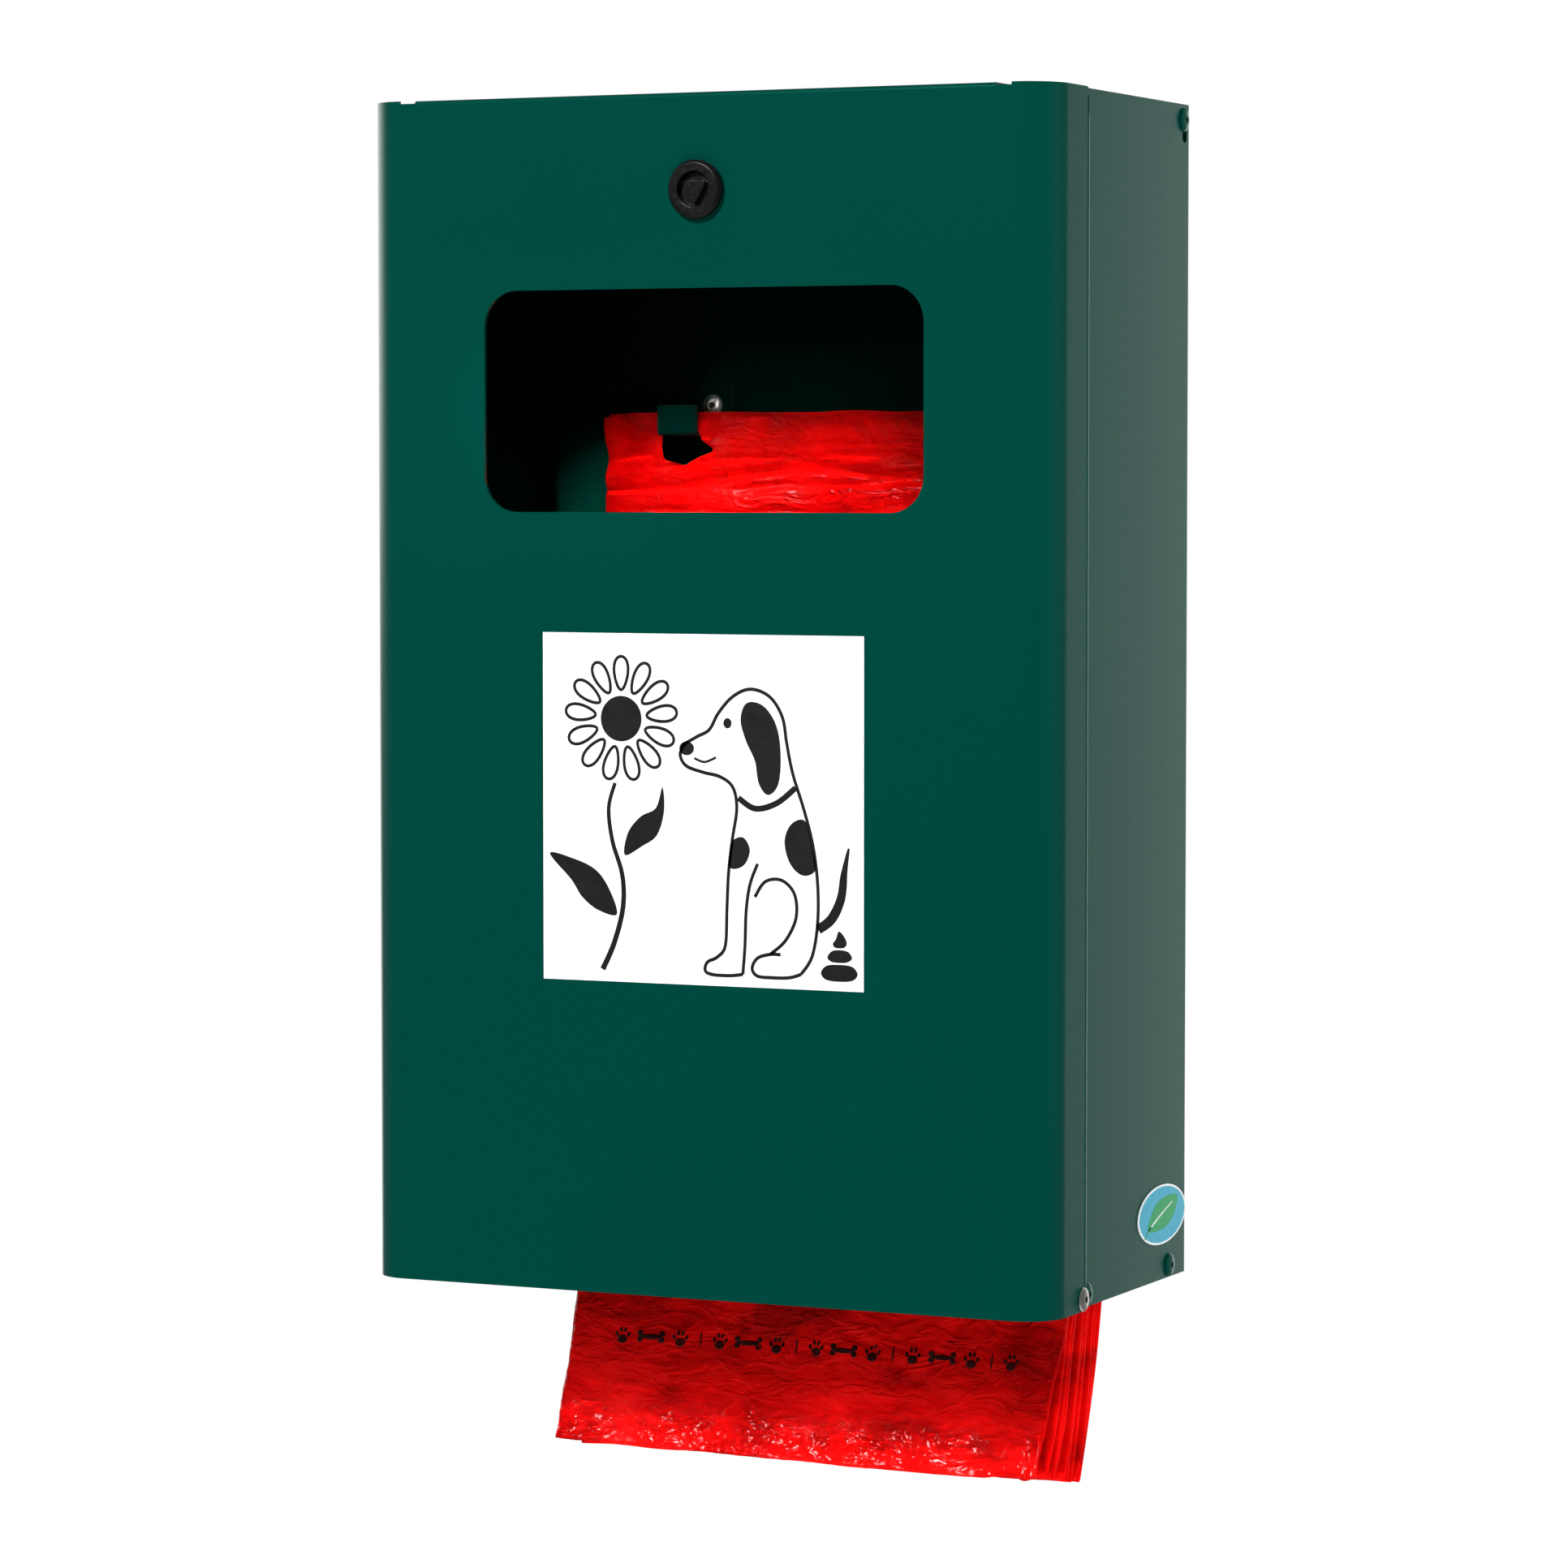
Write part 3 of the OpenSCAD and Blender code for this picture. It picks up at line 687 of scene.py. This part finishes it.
# Torn holes in the front bag, in millimetres from the hook's middle and from z = 0
TORN = {
    -1: [(-6.4, 89.6), (7.2, 89.8), (9.0, 86.6), (15.6, 82.7), (9.2, 80.6), (3.2, 77.4),
         (-1.6, 78.6), (-5.0, 79.4), (-6.6, 83.6)],
    1: [(-9.0, 89.8), (7.4, 89.6), (9.4, 85.8), (8.2, 81.6), (10.6, 78.6), (2.4, 76.8),
        (-3.8, 78.2), (-9.6, 77.0), (-10.4, 82.6)],
}
torn_holes = [
    [(side * HOOK_X + u / 1000, v / 1000) for u, v in outline]
    for side, outline in TORN.items()
]


def ridge(x, z, scale, seed, stretch=1.0):
    """Sharp creases between smooth facets, from 0 to 1."""
    return 1 - min(abs(noise.noise(Vector((x * scale * stretch, z * scale, seed)))) * 3.2, 1)


# Creases across the front bag, in millimetres: start, end, depth before it is scaled by
# CREASE_SHARE, and half width
CREASES = [
    (-84, 68.6, -50, 69.6, 3.0, 1.2), (-52, 70.0, -30, 74.5, 2.8, 1.4),
    (-34, 74.0, -4, 77.5, 3.4, 1.4), (-40, 79.2, 30, 81.5, 1.5, 1.0),
    (-8, 77.5, 24, 73.5, 3.4, 1.5), (-30, 69.5, 40, 72.0, 2.6, 1.3),
    (24, 73.5, 70, 75.5, 3.0, 1.5), (0, 84.5, 90, 87.0, 1.0, 0.9),
    (30, 79.5, 92, 82.0, 1.6, 1.2), (-70, 62.0, 0, 60.5, 1.8, 1.3),
    (-82, 79.5, -66, 82.0, 1.6, 1.0), (40, 68.0, 94, 64.5, 2.2, 1.3),
    (-36, -198, 4, -246, 0.45, 1.1), (-10, -206, 62, -240, 0.55, 1.2),
    (-30, -219, 40, -236, 0.45, 1.6), (72, -203, 46, -238, 0.5, 1.6),
    (-84, -236, -30, -243, 0.5, 2.0), (20, -243, 90, -238, 0.4, 2.0),
]
CREASE_SHARE = 0.85


def crease_depth(x, z):
    """How deep the listed creases are here; each wanders a little and fades at its ends."""
    total = 0.0
    for x0, z0, x1, z1, depth, half in CREASES:
        a, b = Vector((x0, z0)) / 1000, Vector((x1, z1)) / 1000
        along = b - a
        t = ((x - a.x) * along.x + (z - a.y) * along.y) / along.length_squared
        if not -0.15 < t < 1.15:
            continue
        wander = noisy(x, z, 60, 3.7) * 0.0012
        off = ((x - a.x) * along.y - (z - a.y) * along.x) / along.length + wander
        fade = between(t, -0.15, 0.12) * (1 - between(t, 0.88, 1.15))
        total += CREASE_SHARE * depth / 1000 * fade * math.exp(-((off / (half / 1000)) ** 2))
    return total


BAG_BOTTOM = BAG_TOP - BAG_LENGTH
# The welded seam's height above the bag's lower edge, and its half width
SEAM_UP, SEAM_HALF = 0.0135, 0.0008


def front_bulge(x, z):
    """How far the front bag's film stands forward of the stack's face.

    The film is loose near the hooks, flat in the middle, and puckered near the lower edge.
    Its shape adds up from broad soft waves, long folds, fine creases, a grain, a puffy rim
    below the seam, the seam's own groove, and the listed creases.
    """
    top = between(z, 0.040, 0.075)
    low = 1 - between(z, -0.252, -0.232)
    soft = 0.0012 * top + 0.0012 * noisy(x, z, 17, 1.3) + 0.0013 * noisy(x, z, 38, 9.1)
    folds = (0.00045 + 0.00020 * top) * ridge(x, z, 85, 4.2, 0.6)
    fine = 0.00008 + 0.00014 * top + 0.00024 * low
    creases = fine * (ridge(x, z, 230, 7.7, 0.8) + 0.6 * ridge(x, z, 420, 5.1, 0.9))
    rough = 0.00008 * (1 + top + low) * noisy(x, z, 600, 2.9)
    below_seam = 1 - between(
        z, BAG_BOTTOM + SEAM_UP - 1.5 * SEAM_HALF, BAG_BOTTOM + SEAM_UP + 1.5 * SEAM_HALF
    )
    puffy = below_seam * 0.0004 * ridge(x, z, 120, 12.4, 0.4)
    seam = 0.00030 * math.exp(-(((z - BAG_BOTTOM - SEAM_UP) / SEAM_HALF) ** 2))
    return soft + (folds + creases) + rough + puffy - seam - crease_depth(x, z)


def front_point(x, z):
    """A point of the front bag; x and z are its flat place.

    The film is tight round the hooks, its lower right corner curls forward and up, and its
    left edge is drawn in and out by the creases. The torn holes' rims follow their outlines.
    """
    bulge = front_bulge(x, z)
    for side in (-1, 1):
        near = math.hypot((x - side * HOOK_X) / 0.012, (z - 0.0935) / 0.009)
        bulge *= between(near, 0.8, 1.5)
    y = stack_y(z, 0.02) - bulge
    depth = BAG_TOP - z
    right = between(x, BAG_X + BAG_HALF - 0.030, BAG_X + BAG_HALF)
    left = 1 - between(x, BAG_X - BAG_HALF, BAG_X - BAG_HALF + 0.012)
    curl = between(depth, 0.300, 0.358)
    y -= 0.0030 * right * curl
    x_out = x + 0.0009 * noisy(0.3, z, 55, 6.0) * (right - left)
    x_out += 0.0018 * left * math.exp(-(((z - 0.0805) / 0.006) ** 2))
    x_out -= 0.0022 * right * curl
    z_out = z + 0.0008 * noisy(x, 0.1, 40, 8.0) * between(z, 0.085, 0.096)
    z_out -= 0.0018 * left * between(z, 0.088, 0.096)
    z_out -= 0.0016 * between(x, -0.084, 0.060) * between(depth, 0.330, 0.358)
    z_out += 0.0026 * right * curl * (0.6 + 0.8 * noisy(x, 0.4, 160, 5.0))
    for outline in torn_holes:
        if inside(outline, x_out, z_out):
            x_out, z_out = nearest_on(outline, x_out, z_out)
    return x_out, y, z_out


def in_torn(x, z):
    return any(inside(outline, x, z) for outline in torn_holes)


# The grid is fine where the film can be seen: below the case, and in the window
HIDDEN_FROM, HIDDEN_TO = -0.190, 0.045
FRONT_THICK = 0.00035
CELL_HALF_X, CELL_HALF_Z = 0.0006, 0.00055
front_xs = spread_over(BAG_X - BAG_HALF, BAG_X + BAG_HALF, 0.00115)
front_zs = (
    spread_over(BAG_BOTTOM, HIDDEN_FROM, 0.00110)
    + spread_over(HIDDEN_FROM, HIDDEN_TO, 0.00235)[1:]
    + spread_over(HIDDEN_TO, BAG_TOP, 0.00075)[1:]
)


def all_corners_in_hole(x, z):
    return all(
        in_torn(x + dx, z + dz)
        for dx in (-CELL_HALF_X, CELL_HALF_X) for dz in (-CELL_HALF_Z, CELL_HALF_Z)
    )


front_bag = film_mesh(
    "bag_front_film", front_xs, front_zs, front_point,
    lambda x, z: FRONT_THICK, all_corners_in_hole, FILM,
)
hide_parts("bag_front")

# The bags behind the front one, in five bundles of a few folded films each
LAYERS_IN_BUNDLE = (3, 2, 2, 2, 2)
# How far each film's right side stands out below, in millimetres: groups with gaps between
SIDE_STEPS = (-0.6, -0.2, 0.3, -3.6, 0.9, 1.3, 1.0, -0.8, 1.6, 1.2, 0.6)
rng = random.Random(11)
layer_total = sum(LAYERS_IN_BUNDLE)
# Where the first film starts in the stack, as a share of its depth, and the films' share of it
FIRST_FILM, FILMS_SHARE = 0.065, 0.915
FOLD_DEPTH, HEM_DEPTH = 0.0022, 0.004


def layer(index, bundle):
    """One folded film: a flat pocket with rounded sides and hem and two holes for the hooks."""
    s = FIRST_FILM + (index + 0.5) / layer_total * FILMS_SHARE
    # Each film has its own thickness, its own move sideways, down and up, and its own fan
    pitch = FILMS_SHARE / layer_total * (STACK_BACK - STACK_FRONT)
    full = pitch * rng.uniform(0.78, 0.92)
    shift = rng.uniform(-0.0004, 0.0004) + SIDE_STEPS[index] / 1000
    drop = rng.uniform(-0.0012, 0.0012)
    rise = rng.uniform(-0.0010, 0.0004)
    seed = rng.uniform(0, 50)
    fan = rng.uniform(-0.0006, 0.0006)
    bottom = BAG_BOTTOM + 0.001 - 0.007 * s
    left, right = BAG_X - BAG_HALF, BAG_X + BAG_HALF
    edge = [left, left + 0.00025, left + 0.0008, left + FOLD_DEPTH]
    edge_right = [right - FOLD_DEPTH, right - 0.0008, right - 0.00025, right]
    middle = spread_over(left + FOLD_DEPTH, right - FOLD_DEPTH, 0.0058)[1:-1]
    holes = []
    for side in (-1, 1):
        wide = rng.uniform(0.0002, 0.0016)
        holes.append((
            side * HOOK_X - HOLE_HALF - wide - 0.004 - 0.009 * s,
            side * HOOK_X + HOLE_HALF + wide + 0.0055 - 0.007 * s,
        ))
    cuts = [x for pair in holes for x in pair]
    middle = [x for x in middle if all(abs(x - c) > 0.0015 for c in cuts)]
    xs = sorted(edge + edge_right + middle + cuts)
    zs = (
        [bottom, bottom + 0.0004, bottom + 0.0015, bottom + HEM_DEPTH]
        + spread_over(bottom + 0.008, HOLE_LOW, 0.0052)
        + [HOLE_HIGH, BAG_TOP - 0.0010, BAG_TOP]
    )

    def point(x, z):
        depth = BAG_TOP - z
        y = stack_y(z, s)
        y += 0.00022 * noisy(x, z, 22, 0.5) * between(depth, 0.02, 0.12)
        side = between(x, right - 0.03, right) - (1 - between(x, left, left + 0.03))
        hang = between(depth, 0.22, 0.358)
        x_out = x + shift * between(depth, 0.18, 0.34) * between(x, left, right)
        x_out += 0.0011 * noisy(0.2, z, 30, seed) * abs(side) * between(depth, 0.03, 0.10)
        y += fan * hang * abs(side)
        z_out = z + drop * hang * between(depth, 0.30, 0.358)
        z_out += rise * (1 - between(depth, 0.0, 0.012))
        z_out += 0.0010 * noisy(x, 0.2, 60, seed) * between(depth, 0.33, 0.358)
        return x_out, y, z_out

    def thickness(x, z):
        across = rounded(min(x - left, right - x) / FOLD_DEPTH)
        low = rounded((z - bottom) / HEM_DEPTH)
        swell = 1 + 0.12 * noisy(x, z, 40, seed)
        fuller = 1 + 0.22 * between(BAG_TOP - z, 0.1, 0.35)
        return full * across * low * min(swell, 1.08) * fuller

    def open_cell(x, z):
        return HOLE_LOW < z < HOLE_HIGH and any(a < x < b for a, b in holes)

    made = film_mesh(f"bag_film_{index + 1:02d}", xs, zs, point, thickness, open_cell,
                     FILM_STACK_LIT)
    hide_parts(f"bag_bundle_{bundle}")


index = 0
for bundle, count in enumerate(LAYERS_IN_BUNDLE, 1):
    for _ in range(count):
        layer(index, bundle)
        index += 1


# Row of small marks printed across the front bag
MARKS_Z, MARKS_FIRST, MARKS_END = -0.2263, -0.0640, 0.0900
# From the middle of the film to just in front of its face
MARKS_LIFT = 0.00022


def bag_marks():
    """Paw prints, bones and bars in a row that follows the film."""
    verts, faces = [], []

    def on_film(u, v, height):
        x, y, z = front_point(u, MARKS_Z + v)
        return (x, y - MARKS_LIFT - height, z)

    def dot(u, v, ru, rv, tilt=0.0):
        """A small disc that follows the film: rings round its centre."""
        start, n, rings = len(verts), 14, 3
        c, s = math.cos(tilt), math.sin(tilt)
        for height in (0.00005, 0.0):
            verts.append(on_film(u, v, height))
            for k in range(1, rings + 1):
                for i in range(n):
                    a = 2 * math.pi * i / n
                    x, y = ru * k / rings * math.cos(a), rv * k / rings * math.sin(a)
                    verts.append(on_film(u + x * c - y * s, v + x * s + y * c, height))
        size = 1 + rings * n
        for base, flip in ((start, False), (start + size, True)):
            made = []
            for i in range(n):
                j = (i + 1) % n
                made.append((base, base + 1 + i, base + 1 + j))
                for k in range(rings - 1):
                    a, b = base + 1 + k * n, base + 1 + (k + 1) * n
                    made.append((a + i, b + i, b + j, a + j))
            faces.extend(tuple(reversed(f)) if flip else f for f in made)
        rim, under = start + 1 + (rings - 1) * n, start + size + 1 + (rings - 1) * n
        for i in range(n):
            j = (i + 1) % n
            faces.append((rim + i, under + i, under + j, rim + j))

    def paw(u, v, size):
        dot(u, v - 0.22 * size, 0.30 * size, 0.24 * size)
        for du, dv, tilt in ((-0.36, 0.04, 0.5), (-0.13, 0.28, 0.15), (0.13, 0.28, -0.15),
                             (0.36, 0.04, -0.5)):
            dot(u + du * size, v + dv * size, 0.095 * size, 0.145 * size, tilt)

    def bar(u, v, tall):
        dot(u, v, 0.00035, tall / 2)

    def bone(u, v, size):
        dot(u, v, 0.62 * size, 0.13 * size)
        for side in (-1, 1):
            for up in (-1, 1):
                dot(u + side * 0.60 * size, v + up * 0.15 * size, 0.17 * size, 0.15 * size)

    step, u, group = 0.0098, MARKS_FIRST, 0
    while u < MARKS_END:
        kind = group % 4
        if kind in (0, 2):
            paw(u, 0, 0.0062)
        elif kind == 1:
            bone(u + 0.001, 0, 0.0068)
            u += 0.0022
        else:
            bar(u - 0.0022, 0, 0.0056)
            u -= 0.0046
        u += step
        group += 1
    return mesh_object("bag_print", verts, faces, FILM_INK, "case")


bag_print = bag_marks()


# ------------------------------------------------------------------ stage
def white_to_the_camera(tree, output, plain, seen_kind):
    """Shows pure white to the camera, and the plain shader to everything else."""
    made = tree.nodes
    seen = made.new(seen_kind)
    seen.inputs["Color"].default_value = (1, 1, 1, 1)
    seen.inputs["Strength"].default_value = 1.0
    mix, ray = made.new("ShaderNodeMixShader"), made.new("ShaderNodeLightPath")
    tree.links.new(ray.outputs["Is Camera Ray"], mix.inputs[0])
    tree.links.new(plain, mix.inputs[1])
    tree.links.new(seen.outputs[0], mix.inputs[2])
    tree.links.new(mix.outputs[0], output)


# The floor is far enough below that the case can be seen from underneath
FLOOR_Z, FLOOR_HALF = -2.40, 20.0
floor_mesh = bpy.data.meshes.new("floor")
floor_mesh.from_pydata(
    [(x, y, FLOOR_Z) for x, y in
     ((-FLOOR_HALF, -FLOOR_HALF), (FLOOR_HALF, -FLOOR_HALF), (FLOOR_HALF, FLOOR_HALF),
      (-FLOOR_HALF, FLOOR_HALF))],
    [], [(0, 1, 2, 3)],
)
floor = bpy.data.objects.new("floor", floor_mesh)
scene.collection.objects.link(floor)
floor_material = bpy.data.materials.new("pale_floor")
floor_material.use_nodes = True
floor_shader = floor_material.node_tree.nodes["Principled BSDF"]
floor_shader.inputs["Base Color"].default_value = (0.8, 0.8, 0.8, 1)
floor_shader.inputs["Roughness"].default_value = 0.9
white_to_the_camera(
    floor_material.node_tree,
    floor_material.node_tree.nodes["Material Output"].inputs["Surface"],
    floor_shader.outputs[0], "ShaderNodeEmission",
)
floor_mesh.materials.append(floor_material)


CASE_MIDDLE = (0, -0.07, 0)


def soft_light(name, turn, height, distance, size, power, aim=CASE_MIDDLE, spread=180):
    """An area light aimed at a point; turn 0 is in front of the object and 90 to its right."""
    lamp = bpy.data.lights.new(name, "AREA")
    lamp.shape = "RECTANGLE"
    lamp.size, lamp.size_y = size
    lamp.energy = power
    lamp.spread = math.radians(spread)
    o = bpy.data.objects.new(name, lamp)
    scene.collection.objects.link(o)
    a, e = math.radians(turn), math.radians(height)
    aim = Vector(aim)
    o.location = aim + distance * Vector(
        (math.sin(a) * math.cos(e), -math.cos(a) * math.cos(e), math.sin(e))
    )
    o.rotation_euler = (aim - o.location).to_track_quat("-Z", "Y").to_euler()
    o.visible_camera = False
    return o


soft_light("key", -12, 36, 2.3, (0.5, 0.4), 58)
right_key = soft_light("right_key", 100, 14, 2.5, (2.2, 2.0), 66)
low_fill = soft_light("low_fill", 10, -35, 1.6, (1.2, 0.5), 13, (0, -0.07, -0.2))
soft_light("left_fill", 255, 20, 2.3, (1.6, 1.6), 20)
# A card behind the case that gives the right side its sheen
soft_light("backdrop", 180, 0, 0.52, (1.30, 0.64), 3.7, (-0.375, -0.07, -0.03))
# Narrow beams that brighten the bags in the window and below the case
window_beam = soft_light("window_beam", 16, 18, 0.9, (0.12, 0.014), 0.0175,
                         (-0.036, -0.031, 0.071), 3.6)
hem_beam = soft_light("hem_beam", -4, -8, 0.9, (0.27, 0.02), 0.044,
                      (0.006, -0.070, -0.267), 4.4)
for lamp in (right_key, low_fill, window_beam, hem_beam):
    lamp.visible_glossy = False
# A weak narrow lamp that the creases in the window reflect
soft_light("window_glints", -9, 8, 0.9, (0.10, 0.08), 0.0020, (-0.045, -0.031, 0.072), 5)

world = bpy.data.worlds.new("world")
scene.world = world
world.use_nodes = True
background = world.node_tree.nodes["Background"]
background.inputs["Color"].default_value = (1, 1, 1, 1)
background.inputs["Strength"].default_value = 0.13
white_to_the_camera(
    world.node_tree, world.node_tree.nodes["World Output"].inputs["Surface"],
    background.outputs[0], "ShaderNodeBackground",
)
